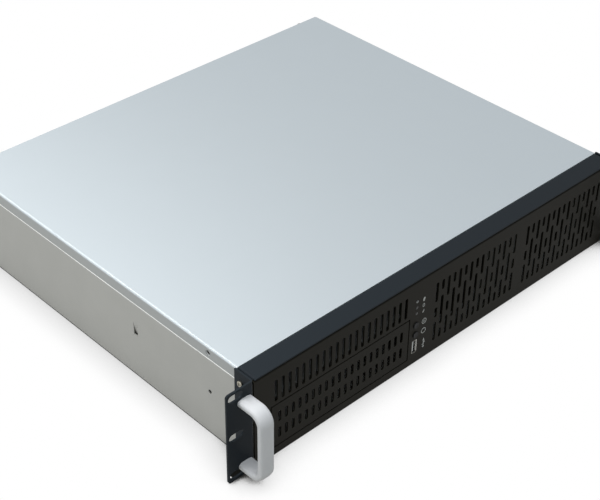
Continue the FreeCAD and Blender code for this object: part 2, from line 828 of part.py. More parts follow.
def fan_frame(x):
    """Moulded housing: two flanges on a round barrel, with a spider that holds the bearing."""
    front = fan_front
    back = front + fan_depth
    barrel = along_shaft(fan_bore_r + fan_barrel, x, front, back)
    body = barrel.multiFuse([fan_flange(x, front), fan_flange(x, back - fan_rim)])
    bore = along_shaft(fan_bore_r, x, front - over, back + over)
    holes = [punch(fan_hole_r, hx, hz, front, fan_depth) for hx, hz in fan_holes(x)]
    body = body.cut([bore] + holes)
    arms = []
    for turn in (45, 135, 225, 315):
        arm = block((0, fan_bore_r + fan_barrel / 2), (back - fan_spider, back),
                    (-fan_arm / 2, fan_arm / 2))
        arm.rotate(vec(0, 0, 0), Y, turn)
        arm.translate(vec(x, 0, fan_height))
        arms.append(arm)
    plate = along_shaft(hub_r + hub_plate, x, back - fan_spider, back)
    bearing = along_shaft(bearing_r, x, back - bearing_length, back, bearing_sides)
    body = body.multiFuse(arms + [plate, bearing])
    return body.cut(round_shaft(shaft_r + shaft_gap, x, front, back - bearing_end)).removeSplitter()


def round_shaft(radius, x, front, back):
    """Round bar or cutter on the axis of the fan at x."""
    return rod(radius, vec(x, front, fan_height), vec(x, back, fan_height))


def blade(x, front, length):
    """Twisted, cambered blade from inside the hub out to the tip, with flat facets."""
    rings = []
    for radius, pitch, chord in zip((hub_r - hub_wall / 2, fan_bore_r - blade_tip_gap),
                                    blade_pitch, blade_chord):
        a = math.radians(pitch)
        across = vec(math.sin(a), -math.cos(a), 0)
        lift = vec(math.cos(a), math.sin(a), 0)
        rows = [across * (t * chord / 2) + lift * (blade_camber * (1 - t * t)) for t in (-1, 0, 1)]
        half = lift * (blade_thick / 2)
        outline = [row + half for row in rows] + [row - half for row in rows[::-1]]
        place = vec(x, front + length / 2, fan_height)
        rings.append([place + p + Z * math.sqrt(radius ** 2 - p.x ** 2) for p in outline])
    inner, outer = rings
    count = len(inner)
    corners = []
    for i in range(count):
        k = (i + 1) % count
        corners += [(inner[i], inner[k], outer[i]), (inner[k], outer[k], outer[i])]
    for ring in rings:
        for i in (0, 1):
            a, b, c, d = ring[i], ring[i + 1], ring[count - 2 - i], ring[count - 1 - i]
            corners += [(a, b, c), (a, c, d)]
    faces = [Part.Face(Part.makePolygon([a, b, c, a])) for a, b, c in corners]
    return Part.makeSolid(Part.makeShell(faces))


def fan_rotor(x):
    """Cup-shaped hub with its shaft and blades."""
    front = fan_front + hub_setback
    back = front + hub_length
    cup = along_shaft(hub_r, x, front, back)
    hollow = along_shaft(hub_r - hub_wall, x, front + hub_front, back + over)
    cup = cup.cut(hollow)
    shaft = round_shaft(shaft_r, x, front + hub_front / 2, back)
    base = blade(x, front, hub_length - blade_setback)
    blades = []
    for i in range(blade_count):
        copy = base.copy()
        copy.rotate(vec(x, 0, fan_height), Y, i * 360.0 / blade_count)
        blades.append(copy)
    return cup.multiFuse([shaft] + blades)


def fan_screws():
    shank, head_r, head, reach = fan_screw
    return [pan_screw(vec(hx, wall_y, hz), Y * -1, sheet + reach, shank, head_r, head)
            for x in fan_centres for hx, hz in fan_holes(x)]


# Front controls: board, switches, buttons, light pipes and USB port

def control_bracket():
    middle = wall_y + sheet / 2
    foot = sheet * 1.5
    points = [(middle + bracket_foot, foot), (middle, foot), (middle, board_z[1])]
    plate = bent_sheet(points, sheet, X * (bracket_x[1] - bracket_x[0]), in_yz(bracket_x[0]))
    back = board_y + board_thick
    bosses = [flat_rod(boss_r, vec(x, back, z), vec(x, middle, z)) for x, z in board_screw_places()]
    plate = plate.multiFuse(bosses)
    cutters = [punch(tapped_r, x, z, back, wall_y + sheet - back) for x, z in board_screw_places()]
    for x, y in bracket_screw_places():
        cutters.append(floor_hole(clear_r, x, y))
    return plate.cut(cutters)


def board_screw_places():
    return [(control_x + board_screw_side, z) for z in board_screw_heights]


def control_board():
    board = block(board_x, (board_y, board_y + board_thick), board_z)
    return board.cut([punch(clear_r, x, z, board_y, board_thick) for x, z in board_screw_places()])


def control_screws():
    reach = board_thick + board_screw_grip
    return [pan_screw(vec(x, board_y, z), Y * -1, reach) for x, z in board_screw_places()]


def light_pipes():
    pipes = []
    for z in led_heights:
        wider, length = led_foot
        seat = vec(control_x, board_y, z)
        pipe = flat_rod(led_r, vec(control_x, -led_proud, z), seat)
        pipes.append(pipe.fuse(flat_rod(led_r + wider, seat - Y * length, seat)))
    return pipes


def tact_switches():
    half = switch_size / 2
    return [block((control_x - half, control_x + half), (board_y - switch_depth, board_y),
                  (z - half, z + half)) for z in (power_height, reset_height)]


def push_button(z):
    """Cap with a stop collar behind the face and a stem that reaches the switch."""
    x = control_x
    collar = face_back + button_gap
    end = board_y - switch_depth - button_travel - button_rest
    wider, thick = button_collar
    cap = flat_rod(button_r, vec(x, -button_proud, z), vec(x, collar + thick / 2, z), button_sides)
    ring = flat_rod(button_r + wider, vec(x, collar, z), vec(x, collar + thick, z), button_sides)
    stem = flat_rod(button_stem_r, vec(x, collar, z), vec(x, end, z))
    return cap.multiFuse([ring, stem]).removeSplitter()


def usb_shell():
    """Folded metal shell of the socket, standing on the board."""
    half_x, half_z = usb_width / 2, usb_length / 2
    outer = block((control_x - half_x, control_x + half_x), (usb_setback, board_y),
                  (usb_height - half_z, usb_height + half_z))
    uprights = [e for e in outer.Edges if abs(e.Length - (board_y - usb_setback)) < tiny]
    outer = outer.makeFillet(usb_corner, uprights)
    inner = block((control_x - half_x + usb_wall, control_x + half_x - usb_wall),
                  (usb_setback - over, board_y + over),
                  (usb_height - half_z + usb_wall, usb_height + half_z - usb_wall))
    return outer.cut(inner)


def usb_insert():
    """Plastic block at the back of the shell with the contact tongue."""
    half_x, half_z = usb_width / 2 - usb_wall, usb_length / 2 - usb_wall
    base = block((control_x - half_x, control_x + half_x), (board_y - usb_base, board_y),
                 (usb_height - half_z, usb_height + half_z))
    off_side, thick, off_end, back = usb_tongue
    left = control_x - half_x + off_side
    tongue = block((left, left + thick), (back, board_y - usb_base / 2),
                   (usb_height - half_z + off_end, usb_height + half_z - off_end))
    return base.fuse(tongue).removeSplitter()


# Rear panel with its apertures, and the blank card covers inside it

def card_places():
    return [card_first_x - i * card_pitch for i in range(card_count)]


def window(x, width, low, high):
    """Cutter for a rectangular window in the rear panel, about x."""
    return block((x - width / 2, x + width / 2), (panel_front - over, panel_back + over), (low, high))


def rear_panel():
    middle = panel_front + sheet / 2
    half = half_width - rear_inset
    points = [(middle - rear_foot, sheet * 1.5), (middle, sheet * 1.5), (middle, rim_height),
              (middle - rear_flange, rim_height)]
    panel = bent_sheet(points, sheet, X * (2 * half), in_yz(-half))
    inset = half_width - rim_width - sheet - flange_gap - rear_corner_gap
    trim_y = (middle - rear_flange - over, panel_front)
    cutters = both_sides(block((inset, half_width), trim_y, (rim_height - sheet, case_height)))
    cutters += both_sides(block((inset, half_width), trim_y, (0, rear_corner_gap)))

    cutters.append(window((io_x[0] + io_x[1]) / 2, io_width, *io_z))
    for x in card_places():
        cutters.append(window(x, card_window_width, card_window_low,
                              case_height - card_window_drop))
        cutters.append(punch(tapped_r, x, card_screw_height, panel_front))
    cutters.append(window(psu_centre, psu_width, psu_low, case_height - psu_drop))
    for x in (psu_centre - psu_screw_offset, psu_centre + psu_screw_offset):
        for z in (psu_screw_low, case_height - psu_screw_drop):
            cutters.append(rod(clear_r, vec(x, panel_front - over, z), vec(x, panel_back + over, z)))
    vent_low, vent_high = io_z[1] + vent_gap, case_height - vent_drop
    if vent_high - vent_low > vent_width:
        for i in range(vent_count):
            x = (io_x[0] + io_x[1]) / 2 + (i - (vent_count - 1) / 2) * vent_pitch
            cutters.append(window(x, vent_width, vent_low, vent_high))
    for x in (-thumb_x, thumb_x):
        cutters.append(punch(thumb_shaft_r + thumb_hole_gap[1], x, thumb_height, panel_front))
    for x, z in rivet_places:
        cutters.append(punch(rivet_r, x, z, panel_front))
    return panel.cut(cutters)


def rear_rivets():
    """Pop rivets that hold the panel to the tray's rear flanges."""
    return [pan_screw(vec(x, panel_back, z), Y, sheet, rivet_r - rivet_gap, *rivet_head)
            for x, z in rivet_places]


def card_covers():
    covers = []
    for x in card_places():
        half = card_cover_width / 2
        plate = block((x - half, x + half), (panel_front - card_cover_sheet, panel_front),
                      (card_cover_low, case_height - card_cover_drop))
        covers.append(plate.cut(punch(clear_r, x, card_screw_height,
                                      panel_front - card_cover_sheet, card_cover_sheet)))
    return covers


def card_cover_screws():
    return [pan_screw(vec(x, panel_back, card_screw_height), Y, card_screw_reach)
            for x in card_places()]


# Top cover: one folded sheet that slides off to the back

def top_cover():
    wall = half_width - sheet / 2
    top = case_height - sheet / 2
    low = seam_height + seam_gap
    fold = fold_radius + sheet / 2
    start = strip_depth + cover_front_gap
    rear = case_depth - sheet / 2
    section = [(-wall, low), (-wall, top), (wall, top), (wall, low)]
    cover = bent_sheet(section, sheet, Y * (rear - fold - start), in_xz(start))
    half = half_width - cover_rear_inset
    drop = case_height - cover_rear_drop
    tail = bent_sheet([(rear - fold - lap, top), (rear, top), (rear, drop)], sheet, X * (2 * half),
                      in_yz(-half))
    places = (-thumb_x, thumb_x)
    tabs = [block((x - thumb_tab_width / 2, x + thumb_tab_width / 2),
                  (case_depth - sheet, case_depth),
                  (case_height - thumb_tab_drop, drop + over)) for x in places]
    cover = cover.multiFuse([tail] + tabs).removeSplitter()
    cutters = [punch(thumb_shaft_r + thumb_hole_gap[0], x, thumb_height, case_depth - sheet)
               for x in places]
    cutters += both_sides(side_hole(dimple_r, half_width - sheet - over / 4, dimple_y,
                                    case_height - dimple_drop))
    return cover.cut(cutters)


def cover_thumbscrews():
    """Captive screws with a slotted head, through the cover's rear flange."""
    screws = []
    width, depth = thumb_slot
    for x in (-thumb_x, thumb_x):
        seat = vec(x, case_depth, thumb_height)
        top = seat.y + thumb_head_length
        head = flat_rod(thumb_head_r, seat, seat + Y * thumb_head_length, thumb_sides)
        slot = block((x - thumb_head_r - over, x + thumb_head_r + over), (top - depth, top + over),
                     (thumb_height - width / 2, thumb_height + width / 2))
        shaft = flat_rod(thumb_shaft_r, seat - Y * thumb_reach, seat + Y * (thumb_head_length / 2))
        screws.append(head.cut(slot).fuse(shaft))
    return screws


# Hexagonal standoffs that carry the motherboard

def standoff_places():
    rear = panel_front - board_rear_gap
    return [(board_edge_x - column, rear - row) for column in standoff_columns
            for row in standoff_rows]


def standoffs():
    outer_r = standoff_flats / math.sqrt(3)
    pieces = []
    for x, y in standoff_places():
        corners = [vec(x + outer_r * math.cos(math.radians(60 * i)),
                       y + outer_r * math.sin(math.radians(60 * i)), sheet) for i in range(7)]
        post = Part.Face(Part.makePolygon(corners)).extrude(Z * standoff_height)
        top = sheet + standoff_height
        pieces.append(post.cut(rod(tapped_r, vec(x, y, top - standoff_bore),
                                   vec(x, y, top + over))))
    return pieces


# One file for each piece, or for each set of like fasteners

nodes = {
    "base_tray": [base_tray()],
    "rear_panel": [rear_panel()],
    "rear_rivets": rear_rivets(),
    "card_slot_covers": card_covers(),
    "card_cover_screws": card_cover_screws(),
    "motherboard_standoffs": standoffs(),
    "front_panel": [front_panel()],
    "front_top_strip": [front_top_strip()],
    "ear_bracket_right": [ear_bracket()],
    "ear_bracket_left": [mirrored(ear_bracket())],
    "ear_screws": ear_screws(),
    "handle_right": [handle()],
    "handle_left": [mirrored(handle())],
    "handle_screws": handle_screws(),
    "drive_cage": [drive_cage()],
    "bay_cover": [bay_cover()],
    "bay_cover_screws": bay_cover_screws(),
    "floor_screws": floor_screws(),
    "fan_wall": [fan_wall()],
    "fan_screws": fan_screws(),
    "control_bracket": [control_bracket()],
    "control_board": [control_board()],
    "control_board_screws": control_screws(),
    "light_pipes": light_pipes(),
    "tact_switches": tact_switches(),
    "power_button": [push_button(power_height)],
    "reset_button": [push_button(reset_height)],
    "usb_shell": [usb_shell()],
    "usb_insert": [usb_insert()],
    "top_cover": [top_cover()],
    "cover_thumbscrews": cover_thumbscrews(),
}

for number, centre in enumerate(fan_centres, 1):
    nodes["fan_frame_%d" % number] = [fan_frame(centre)]
    nodes["fan_rotor_%d" % number] = [fan_rotor(centre)]

os.makedirs("parts", exist_ok=True)
to_origin = vec(0, -case_depth / 2, 0)
for name, solids in nodes.items():
    shape = solids[0] if len(solids) == 1 else Part.makeCompound(solids)
    shape.translate(to_origin)
    shape.exportStep("parts/" + name + ".step")
    print(name, len(shape.Solids), shape.isValid(), round(shape.Volume, 1))
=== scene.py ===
import bmesh
import bpy
import math
import numpy as np
from mathutils import Matrix, Vector


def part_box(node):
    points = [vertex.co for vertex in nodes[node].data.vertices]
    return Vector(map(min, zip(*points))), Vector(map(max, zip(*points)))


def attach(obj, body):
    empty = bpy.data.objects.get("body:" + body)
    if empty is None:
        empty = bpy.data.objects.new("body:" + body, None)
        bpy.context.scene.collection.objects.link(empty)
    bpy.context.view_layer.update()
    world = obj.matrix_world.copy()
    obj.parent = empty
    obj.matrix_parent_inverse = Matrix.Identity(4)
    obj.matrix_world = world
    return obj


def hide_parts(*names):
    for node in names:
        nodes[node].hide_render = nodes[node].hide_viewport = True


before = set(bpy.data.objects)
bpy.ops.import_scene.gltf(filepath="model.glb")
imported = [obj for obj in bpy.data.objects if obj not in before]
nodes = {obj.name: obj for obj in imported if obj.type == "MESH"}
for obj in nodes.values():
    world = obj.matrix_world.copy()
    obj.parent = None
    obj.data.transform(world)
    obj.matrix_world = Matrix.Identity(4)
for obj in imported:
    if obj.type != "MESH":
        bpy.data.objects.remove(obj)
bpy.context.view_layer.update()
mm = 0.001


# Tray: floor and side walls folded from one sheet of hot-dip galvanised steel.
# It carries every other piece. The rear panel and the blank card covers are cut from the
# same sheet.

def linear(code):
    """sRGB hex colour as linear red, green, blue and alpha."""
    levels = [int(code[i:i + 2], 16) / 255 for i in (1, 3, 5)]
    return [v / 12.92 if v <= 0.04045 else ((v + 0.055) / 1.055) ** 2.4 for v in levels] + [1.0]


def add(thing, kind, links=None, **settings):
    """Adds a node to a material or the world: settings are its properties, or values of its
    sockets by name; links maps its sockets to other nodes' outputs."""
    node = thing.node_tree.nodes.new(kind)
    for name, value in settings.items():
        if hasattr(node, name):
            setattr(node, name, value)
        else:
            node.inputs[name.replace("_", " ")].default_value = value
    for name, output in (links or {}).items():
        thing.node_tree.links.new(output, node.inputs[name])
    return node


def new_material(name):
    """Material without nodes yet, named for the real finish."""
    material = bpy.data.materials.new(name)
    material.use_nodes = True
    material.node_tree.nodes.clear()
    return material


def colour_ramp(thing, source, stops):
    """Colours along a value from 0 to 1, from (place, sRGB hex colour) stops."""
    ramp = add(thing, "ShaderNodeValToRGB", {"Fac": source})
    marks = ramp.color_ramp.elements
    while len(marks) < len(stops):
        marks.new(0.5)
    for mark, (place, code) in zip(marks, stops):
        mark.position = place
        mark.color = linear(code)
    return ramp.outputs["Color"]


def pattern(material, size, detail=2.0, stretch=(1, 1, 1)):
    """Soft noise from 0 to 1 over the piece, in cells of a size in millimetres. A stretch
    under 1 draws the cells out along that axis."""
    place = add(material, "ShaderNodeTexCoord").outputs["Object"]
    if stretch != (1, 1, 1):
        place = add(material, "ShaderNodeMapping", {"Vector": place}, Scale=stretch).outputs[0]
    return add(material, "ShaderNodeTexNoise", {"Vector": place}, Scale=1 / (size * mm),
               Detail=detail).outputs["Fac"]


def ripple(material, height, strength, depth):
    """Bump of a height pattern, its full depth in millimetres."""
    return add(material, "ShaderNodeBump", {"Height": height}, Strength=strength,
               Distance=depth * mm).outputs["Normal"]


def finished(material, links, **settings):
    """Ends a material with one principled shader."""
    shader = add(material, "ShaderNodeBsdfPrincipled", links, **settings)
    add(material, "ShaderNodeOutputMaterial", {"Surface": shader.outputs[0]})
    return material


def galvanised_steel(name, dark, light, metallic, smooth, rough):
    """Zinc-coated sheet: faint clouds 25 mm across in tint and polish, which keep a large
    flat side from looking painted, and rolling grain 0.6 mm apart."""
    material = new_material(name)
    clouds = pattern(material, 25.0, detail=3.0)
    grain = pattern(material, 0.625)
    mixed = add(material, "ShaderNodeMix", {"A": clouds, "B": grain}, data_type="FLOAT",
                Factor=0.5).outputs["Result"]
    tint = colour_ramp(material, mixed, [(0.35, dark), (0.65, light)])
    polish = add(material, "ShaderNodeMapRange", {"Value": mixed}, To_Min=smooth, To_Max=rough)
    return finished(material, {"Base Color": tint, "Roughness": polish.outputs[0],
                               "Normal": ripple(material, grain, 0.05, 0.2)},
                    Metallic=metallic)


def dress(material, *names):
    """Puts a material on CAD nodes, in place of their plain one."""
    for name in names:
        mesh = nodes[name].data
        mesh.materials.clear()
        mesh.materials.append(material)


# Dull zinc: half of what it shows is the tone of the floor and the sky, the rest its own
# warm grey.
steel = galvanised_steel("galvanised_steel", "#A1A19C", "#A6A6A1", metallic=0.55, smooth=0.44,
                         rough=0.48)
dress(steel, "base_tray", "rear_panel", "card_slot_covers")


# Standoffs: nine pillars turned from hexagonal brass rod and screwed into the tray's floor,
# where a board would be fixed.

def metal(name, colour, rough, lines=0.0, metallic=1.0):
    """Bare metal: its colour is that of its reflections. lines is how far apart, in
    millimetres, the marks of turning or drawing lie; they run upwards and blur the
    highlight."""
    material = new_material(name)
    links = {}
    if lines:
        marks = pattern(material, lines, stretch=(1, 1, 0.02))
        links["Normal"] = ripple(material, marks, 0.15, 0.1)
    return finished(material, links, Base_Color=linear(colour), Metallic=metallic,
                    Roughness=rough)


# Turned brass: warm yellow highlights, seen through the rear windows.
dress(metal("turned_brass", "#C9A558", 0.3), "motherboard_standoffs")


# Face: 1.5 mm steel sheet with satin black powder coat, punched with round-ended slots.
# Its top edge is folded back under the black strip and leaves a dark line there. The bay's
# plate, the buttons, the lights and the USB port each get their opening.

def powder_coat(name, colour, rough):
    """Baked powder paint: a fine orange peel 0.9 mm across that breaks up the highlight."""
    material = new_material(name)
    peel = pattern(material, 0.909)
    return finished(material, {"Normal": ripple(material, peel, 0.1, 0.2)},
                    Base_Color=linear(colour), Roughness=rough, Specular_IOR_Level=0.05)


def new_piece(name, part, material, body="case", node=None, angle=35.0):
    """Mesh object from points in millimetres and faces, riding on a body. Edges sharper
    than the angle stay crisp; node names the CAD node that it stands in for."""
    points, faces = part
    mesh = bpy.data.meshes.new(name)
    mesh.from_pydata((np.asarray(points) * mm).tolist(), [], [list(map(int, f)) for f in faces])
    shell = bmesh.new()
    shell.from_mesh(mesh)
    bmesh.ops.remove_doubles(shell, verts=shell.verts, dist=1e-7)
    bmesh.ops.recalc_face_normals(shell, faces=shell.faces)
    shell.to_mesh(mesh)
    shell.free()
    mesh.polygons.foreach_set("use_smooth", np.full(len(mesh.polygons), True))
    mesh.set_sharp_from_angle(angle=math.radians(angle))
    mesh.materials.append(material)
    piece = bpy.data.objects.new(name, mesh)
    bpy.context.scene.collection.objects.link(piece)
    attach(piece, body)
    if node:
        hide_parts(node)
    return piece


def slot_outline(x, low, high, width):
    """Round-ended upright slot: two half circles of seven flats each, joined by straights."""
    r = width / 2
    turn = np.linspace(0, np.pi, 8)
    top = np.c_[x + r * np.cos(turn), high - r + r * np.sin(turn)]
    bottom = np.c_[x - r * np.cos(turn), low + r - r * np.sin(turn)]
    return np.vstack([top, bottom])


def circle_outline(x, z, r, count=32):
    """Circle about (x, z): cosine across and sine up, at even steps of the turn."""
    turn = np.arange(count) * 2 * np.pi / count
    return np.c_[x + r * np.cos(turn), z + r * np.sin(turn)]


def box_outline(x, z):
    """Rectangle from x[0] to x[1] across and from z[0] to z[1] up, anticlockwise."""
    return np.array([[x[0], z[0]], [x[1], z[0]], [x[1], z[1]], [x[0], z[1]]])


def slot_columns(centre, count):
    """Middle lines of a row of slots, one pitch apart and even about its centre."""
    return centre + (np.arange(count) - (count - 1) / 2) * slot_pitch


def pierced_plate(outlines, thick, edge, front):
    """Flat plate between outlines: the outer one is filled, those inside it are left open.
    Its front face lies at y = front. Its rim and holes have edges of radius edge: the
    outlines move in by that much, and the rounding brings them out again."""
    curve = bpy.data.curves.new("plate", "CURVE")
    curve.dimensions = "2D"
    curve.fill_mode = "BOTH"
    curve.extrude = thick / 2 - edge
    curve.bevel_depth = edge
    curve.bevel_resolution = 1
    curve.offset = -edge
    for outline in outlines:
        spline = curve.splines.new("POLY")
        spline.points.add(len(outline) - 1)
        spline.points.foreach_set("co", np.c_[outline, np.zeros(len(outline)),
                                              np.ones(len(outline))].ravel())
        spline.use_cyclic_u = True
    holder = bpy.data.objects.new("plate", curve)
    mesh = bpy.data.meshes.new_from_object(holder)
    flat = np.empty(len(mesh.vertices) * 3)
    mesh.vertices.foreach_get("co", flat)
    flat = flat.reshape(-1, 3)
    faces = [tuple(p.vertices) for p in mesh.polygons]
    bpy.data.objects.remove(holder)
    bpy.data.curves.remove(curve)
    bpy.data.meshes.remove(mesh)
    return np.c_[flat[:, 0], front + thick / 2 - flat[:, 2], flat[:, 1]], faces


def run_out(loop, ends, axis):
    """Closed outline run out between two ends along an axis, 0 for x or 1 for y: one side to
    each of its edges, and itself as both end faces."""
    points = np.vstack([np.insert(loop, axis, end, axis=1) for end in ends])
    count = len(loop)
    k = np.arange(count)
    following = (k + 1) % count
    faces = np.c_[k, following, following + count, k + count].tolist()
    return points, faces + [k[::-1].tolist(), (k + count).tolist()]


def folded_strip(profile, x, thick):
    """Sheet that follows a profile of (y, z) points on its outer side, run out along x.
    The inner skin is the profile moved by the thickness, square to its own direction."""
    profile = np.asarray(profile, float)
    ways = np.gradient(profile, axis=0)
    ways /= np.linalg.norm(ways, axis=1)[:, None]
    inner = profile + np.c_[ways[:, 1], -ways[:, 0]] * thick
    return run_out(np.vstack([profile, inner[::-1]]), x, 0)


def joined(parts):
    """Several sets of points and faces as one: each set's faces count on from the points
    before it."""
    points, faces, start = [], [], 0
    for some, their_faces in parts:
        points.append(np.asarray(some, float))
        faces += [[int(i) + start for i in face] for face in their_faces]
        start += len(some)
    return np.vstack(points), faces


# In millimetres from here on: x from the middle, y to the back, z up from the underside.
face_low, face_high = [np.array(corner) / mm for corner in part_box("front_panel")]
bay_low, bay_high = [np.array(corner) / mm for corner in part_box("bay_cover")]
front = face_low[1]
face_sheet, punched_edge = 1.5, 0.15
fold_radius, fold_gap, fold_start, flange_half = 0.9, 1.0, 3.0, 200.0
slot_width, slot_pitch = 3.0, 7.03
bay_centre, bay_gap = -122.5, 1.0
upper_columns, upper_row = 21, (54.0, 75.0)
fan_centres, fan_height, fan_columns = (34.0, 149.5), 44.0, 15
long_columns = ((52.0, 72.0), (36.0, 46.0), (11.5, 31.0))
short_columns = ((62.0, 72.0), (26.0, 56.0), (11.5, 21.0))
control_x = -39.0
button_heights, button_hole = (41.0, 31.0), 3.15
light_heights, light_hole = (65.0, 59.0, 53.0), 1.6
port_height, port_half_width, port_half_height = 18.2, 3.1, 6.8

# Satin black coat: warm and very dark, with a broad, weak highlight.
black = powder_coat("black_powder_coat", "#201E18", 0.45)
fold_top = face_high[2] - fold_gap
outlines = [box_outline((face_low[0], face_high[0]), (face_low[2], fold_top - fold_radius)),
            box_outline((bay_low[0] - bay_gap, bay_high[0] + bay_gap),
                        (bay_low[2] - bay_gap, bay_high[2] + bay_gap))]
outlines += [slot_outline(x, *upper_row, slot_width)
             for x in slot_columns(bay_centre, upper_columns)]
for centre in fan_centres:
    for column, x in enumerate(slot_columns(centre, fan_columns)):
        rows = short_columns if column % 2 else long_columns
        outlines += [slot_outline(x, low, high, slot_width) for low, high in rows]
outlines += [circle_outline(control_x, height, button_hole) for height in button_heights]
outlines += [circle_outline(control_x, height, light_hole) for height in light_heights]
outlines.append(box_outline((control_x - port_half_width, control_x + port_half_width),
                            (port_height - port_half_height, port_height + port_half_height)))
plate = pierced_plate(outlines, face_sheet, punched_edge, front)
turn = np.linspace(0, np.pi / 2, 9)
bend = np.c_[front + fold_radius * (1 - np.cos(turn)),
             fold_top - fold_radius * (1 - np.sin(turn))]
fold = folded_strip(np.vstack([bend, [[front + fold_start, fold_top]]]),
                    (face_low[0], face_high[0]), face_sheet)
back = folded_strip([[front + fold_start, fold_top], [face_high[1], fold_top]],
                    (-flange_half, flange_half), face_sheet)
new_piece("slotted_face", joined([plate, fold, back]), black,
          node="front_panel", angle=20.0)


# Top strip and rack ears: bent from sheet, in a coat a little bluer than the face's. They are
# screwed to the tray's sides together.

# Blue-black coat: what sets the strip and ears off from the warmer face.
dress(powder_coat("blue_black_powder_coat", "#23282C", 0.45),
      "front_top_strip", "ear_bracket_left", "ear_bracket_right")


# Drive cage, fan wall and the bracket of the buttons' board: folded sheet in a grey coat.
# They are screwed to the tray's floor, and the slots of the face show them in shadow.

# Grey coat: matt, and dull beside the zinc around it.
dress(powder_coat("grey_powder_coat", "#8C8C88", 0.6),
      "drive_cage", "fan_wall", "control_bracket")


# Handles: oval aluminium bar, 13.5 by 6.5 mm, bent to a D and satin anodised. Two screws
# from behind the ear hold each one.

def oval_outline(width, height, power, count):
    """Oval between an ellipse and its box, anticlockwise: the powers of x over half the
    width and of z over half the height add up to one."""
    turn = np.arange(count) * 2 * np.pi / count
    c, s = np.cos(turn), np.sin(turn)
    return np.c_[width / 2 * np.sign(c) * abs(c) ** (2 / power),
                 height / 2 * np.sign(s) * abs(s) ** (2 / power)]


def bent_bar(x, section, y, z, r):
    """Section swept along a D in the plane of y and z: out from y[0] at z[0], round a
    quarter circle of radius r, up, round again, and back. Each ring stands square to the
    middle line: its own height points away from the bend's centre."""
    turn = np.linspace(0, np.pi / 2, 17)
    lower = np.c_[y[1] + r - r * np.sin(turn), z[0] + r - r * np.cos(turn),
                  -np.sin(turn), -np.cos(turn)]
    upper = lower[::-1] * [1, -1, 1, -1] + [0, z[0] + z[1], 0, 0]
    path = np.vstack([[y[0], z[0], 0, -1], lower, upper, [y[0], z[1], 0, 1]])
    count = len(section)
    rings = [np.c_[x + section[:, 0], cy + ny * section[:, 1], cz + nz * section[:, 1]]
             for cy, cz, ny, nz in path]
    k = np.arange(count)
    following = (k + 1) % count
    faces = []
    for i in range(len(path) - 1):
        a, b = i * count, (i + 1) * count
        faces += np.c_[a + k, a + following, b + following, b + k].tolist()
    faces += [k.tolist(), (k + (len(path) - 1) * count).tolist()]
    return np.vstack(rings), faces


handle_x, handle_reach, handle_bend = 224.0, 22.55, 9.75
handle_legs = (10.95, 74.15)

# Satin anodising: its clear oxide scatters the light, so the bar looks an even pale grey,
# with soft drawing lines 0.7 mm apart, drawn coarser than real so that they show.
satin = metal("satin_anodised_aluminium", "#CDCDCD", 0.65, lines=2 / 3, metallic=0.1)
bar = oval_outline(width=13.5, height=6.5, power=3.0, count=48)
for side, name in ((-1, "handle_left"), (1, "handle_right")):
    new_piece(name + "_bar", bent_bar(side * handle_x, bar, (front, front - handle_reach),
                                      handle_legs, handle_bend),
              satin, node=name, angle=50.0)


# Cover plate of the drive bay: 1.2 mm black coated sheet with two rows of slots. Two tabs
# welded behind it are screwed into the cage.

def solid_box(low, high):
    """Closed box between two corners."""
    corners = np.array([[x, y, z] for x in (low[0], high[0]) for y in (low[1], high[1])
                        for z in (low[2], high[2])])
    return corners, [[0, 1, 3, 2], [4, 6, 7, 5], [0, 4, 5, 1], [2, 3, 7, 6], [0, 2, 6, 4],
                     [1, 5, 7, 3]]


bay_sheet, lower_columns, lower_rows, lower_slot = 1.2, 20, (15.5, 32.0), 10.5
tab_sheet, tab_start, tab_inset, tab_offsets = 1.0, 1.1, 3.0, (-72.9, 71.9)
outlines = [box_outline((bay_low[0], bay_high[0]), (bay_low[2], bay_high[2]))]
outlines += [slot_outline(x, low, low + lower_slot, slot_width)
             for x in slot_columns(bay_centre, lower_columns) for low in lower_rows]
tabs = [solid_box((x, front + tab_start, bay_low[2] + tab_inset),
                  (x + tab_sheet, bay_high[1], bay_high[2] - tab_inset))
        for x in (bay_centre + offset for offset in tab_offsets)]
new_piece("slotted_bay_cover", joined([pierced_plate(outlines, bay_sheet, punched_edge, front)]
                                      + tabs),
          black, node="bay_cover", angle=20.0)


# Buttons, light pipes and USB port, on a small green board behind the face. The buttons are
# moulded black plastic that slides in the face; the pipes are clear acrylic, one of them
# milky and two smoked.

def plastic(name, colour, rough, clear=0.0, shine=0.12):
    """Moulded plastic. Unless it is clear, the spark texture of the mould takes the gloss
    off; it is drawn 0.4 mm apart, coarser than real. The IOR is acrylic's."""
    material = new_material(name)
    links = {}
    if not clear:
        links["Normal"] = ripple(material, pattern(material, 0.4), 0.12, 0.1)
    return finished(material, links, Base_Color=linear(colour), Roughness=rough,
                    Transmission_Weight=clear, IOR=1.49, Specular_IOR_Level=shine)


def revolved(profile, sides, shape=None):
    """Profile of (radius, height) points turned about the third axis. The first and last
    points lie on the axis and close it. shape may move the points between them."""
    r, h = np.asarray(profile, float).T
    turn = np.arange(sides) * 2 * np.pi / sides
    u, v = np.outer(r[1:-1], np.cos(turn)), np.outer(r[1:-1], np.sin(turn))
    w = np.repeat(h[1:-1, None], sides, 1)
    if shape:
        u, v, w = shape(u, v, w)
    rings = np.stack([u, v, w], -1).reshape(-1, 3)
    k = np.arange(sides)
    following = (k + 1) % sides
    rows = len(r) - 2
    faces = []
    for a in range(0, (rows - 1) * sides, sides):
        faces += np.c_[a + k, a + following, a + sides + following, a + sides + k].tolist()
    end = rows * sides
    faces += np.c_[following, k, np.full(sides, end)].tolist()
    faces += np.c_[end - sides + k, end - sides + following, np.full(sides, end + 1)].tolist()
    return np.vstack([rings, [[0, 0, h[0]], [0, 0, h[-1]]]]), faces


